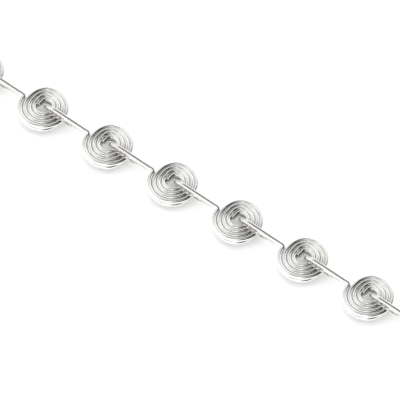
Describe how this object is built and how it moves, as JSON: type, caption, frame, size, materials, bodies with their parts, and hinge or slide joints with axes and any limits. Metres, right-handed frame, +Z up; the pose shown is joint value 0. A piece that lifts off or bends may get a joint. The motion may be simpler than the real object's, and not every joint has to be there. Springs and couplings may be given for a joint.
{
  "type": "decorative spiral wire chain",
  "caption": "Length of decorative chain: flat double-coil links of round silver wire, each hooked by its hairpin through the eye of the one before it.",
  "frame": {"origin": "middle of the chain's length and width, on the surface that it lies on", "axes": "+X along the straight chain, from the free hairpin towards the free coil; +Z up, across the flat coils"},
  "size_m": [0.1458, 0.0114, 0.0055],
  "materials": {
    "silver_wire": "bright polished drawn wire"
  },
  "bodies": {
    "link_1": {"spiral_link_1": "silver_wire"},
    "link_2": {"spiral_link_2": "silver_wire"},
    "link_3": {"spiral_link_3": "silver_wire"},
    "link_4": {"spiral_link_4": "silver_wire"},
    "link_5": {"spiral_link_5": "silver_wire"},
    "link_6": {"spiral_link_6": "silver_wire"},
    "link_7": {"spiral_link_7": "silver_wire"},
    "link_8": {"spiral_link_8": "silver_wire"}
  },
  "joints": [
    {"name": "swing_1_2", "type": "hinge", "parent": "link_1", "child": "link_2", "pos_m": [-0.0549, 0.00035, 0.00275], "axis": [0, 0, 1], "range_deg": [-135, 135]},
    {"name": "swing_2_3", "type": "hinge", "parent": "link_2", "child": "link_3", "pos_m": [-0.0374, 0.00035, 0.00275], "axis": [0, 0, -1], "range_deg": [-135, 135]},
    {"name": "swing_3_4", "type": "hinge", "parent": "link_3", "child": "link_4", "pos_m": [-0.0199, 0.00035, 0.00275], "axis": [0, 0, 1], "range_deg": [-135, 135]},
    {"name": "swing_4_5", "type": "hinge", "parent": "link_4", "child": "link_5", "pos_m": [-0.0024, 0.00035, 0.00275], "axis": [0, 0, -1], "range_deg": [-135, 135]},
    {"name": "swing_5_6", "type": "hinge", "parent": "link_5", "child": "link_6", "pos_m": [0.0151, 0.00035, 0.00275], "axis": [0, 0, 1], "range_deg": [-135, 135]},
    {"name": "swing_6_7", "type": "hinge", "parent": "link_6", "child": "link_7", "pos_m": [0.0326, 0.00035, 0.00275], "axis": [0, 0, -1], "range_deg": [-135, 135]},
    {"name": "swing_7_8", "type": "hinge", "parent": "link_7", "child": "link_8", "pos_m": [0.0501, 0.00035, 0.00275], "axis": [0, 0, 1], "range_deg": [-135, 135]}
  ]
}
